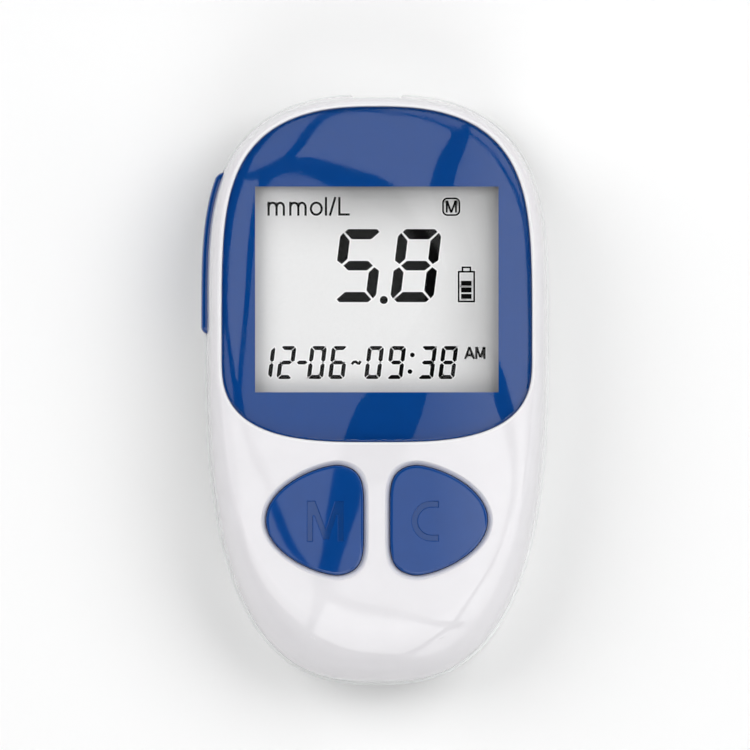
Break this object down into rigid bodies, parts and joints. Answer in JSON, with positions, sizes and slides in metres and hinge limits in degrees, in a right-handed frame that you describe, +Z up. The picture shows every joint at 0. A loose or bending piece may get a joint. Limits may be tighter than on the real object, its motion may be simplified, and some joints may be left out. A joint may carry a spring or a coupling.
{
  "type": "blood glucose meter",
  "caption": "Hand-held blood glucose meter: two-part case, glossy window over a display, two press buttons, strip port, side ejector key and battery door.",
  "frame": {"origin": "middle of the flat back that the meter rests on", "axes": "+Z up out of the display, +Y towards the strip port, +X to the right when the display is read"},
  "size_m": [0.0566, 0.0959, 0.0202],
  "materials": {
    "white_plastic": "glossy moulded white plastic",
    "rear_plastic": "satin moulded white plastic with a fine spark texture",
    "blue_plastic": "glossy moulded blue plastic",
    "clear_plastic": "clear polished plastic",
    "blue_print": "smooth blue ink printed behind the window",
    "adhesive": "soft dark adhesive tape",
    "lcd_glass": "grey reflective liquid crystal glass with dark segments",
    "inner_plastic": "plain moulded plastic",
    "zebra_rubber": "layered silicone rubber",
    "green_board": "green solder mask over glass-fibre board",
    "black_plastic": "black moulded package",
    "ceramic": "tan ceramic chip with tinned ends",
    "steel": "bright nickel-plated spring steel",
    "screw_steel": "dark zinc-plated steel",
    "gold_contact": "gold-plated spring bronze",
    "ivory_plastic": "heat-resistant ivory plastic",
    "cell_wrap": "plain printed cell jacket over steel",
    "label_film": "blank silver-grey film label"
  },
  "bodies": {
    "case": {"front_case": "white_plastic", "rear_case": "rear_plastic", "display_lens": "clear_plastic", "lens_mask": "blue_print", "lens_adhesive": "adhesive", "memory_dome": "steel", "confirm_dome": "steel", "lcd_panel": "lcd_glass", "lcd_holder": "inner_plastic", "zebra_connector": "zebra_rubber", "main_board": "green_board", "microcontroller": "black_plastic", "amplifier_chip": "black_plastic", "crystal": "steel", "buzzer": "black_plastic", "board_components": "ceramic", "board_screws": "screw_steel", "strip_connector": "ivory_plastic", "strip_contacts": "gold_contact", "ejector_pivot_pin": "steel", "ejector_spring": "steel", "left_cell": "cell_wrap", "right_cell": "cell_wrap", "cell_link_contact": "steel", "cell_positive_contact": "steel", "cell_negative_contact": "steel", "case_screws": "screw_steel", "rear_label": "label_film"},
    "memory_key": {"memory_button": "blue_plastic"},
    "confirm_key": {"confirm_button": "blue_plastic"},
    "side_key": {"ejector_key": "blue_plastic"},
    "crank": {"ejector_crank": "inner_plastic"},
    "pusher": {"strip_pusher": "inner_plastic"},
    "door": {"battery_door": "rear_plastic", "battery_door_clip": "rear_plastic"}
  },
  "joints": [
    {"name": "memory_button_press", "type": "slide", "parent": "case", "child": "memory_key", "axis": [0, 0, -1], "range_m": [0, 0.0005], "stiffness_N_per_m": 3000, "springref_m": -0.0002, "deforming": ["memory_dome"]},
    {"name": "confirm_button_press", "type": "slide", "parent": "case", "child": "confirm_key", "axis": [0, 0, -1], "range_m": [0, 0.0005], "stiffness_N_per_m": 3000, "springref_m": -0.0002, "deforming": ["confirm_dome"]},
    {"name": "ejector_key_press", "type": "slide", "parent": "case", "child": "side_key", "axis": [1, 0, 0], "range_m": [0, 0.001], "stiffness_N_per_m": 800, "springref_m": -0.0005, "deforming": ["ejector_spring"]},
    {"name": "ejector_crank_turn", "type": "hinge", "parent": "case", "child": "crank", "pos_m": [-0.012, 0.0275, 0.01], "axis": [0, 0, 1], "range_deg": [0, 16]},
    {"name": "strip_pusher_slide", "type": "slide", "parent": "case", "child": "pusher", "axis": [0, 1, 0], "range_m": [0, 0.00334]},
    {"name": "battery_door_swing", "type": "hinge", "parent": "case", "child": "door", "pos_m": [0, 0.0189, 0], "axis": [1, 0, 0], "range_deg": [0, 45], "deforming": ["battery_door_clip"]}
  ],
  "couplings": [
    {"joint": "ejector_crank_turn", "follows": "ejector_key_press", "rad_per_m": 278.68},
    {"joint": "strip_pusher_slide", "follows": "ejector_key_press", "ratio": 3.3333}
  ]
}
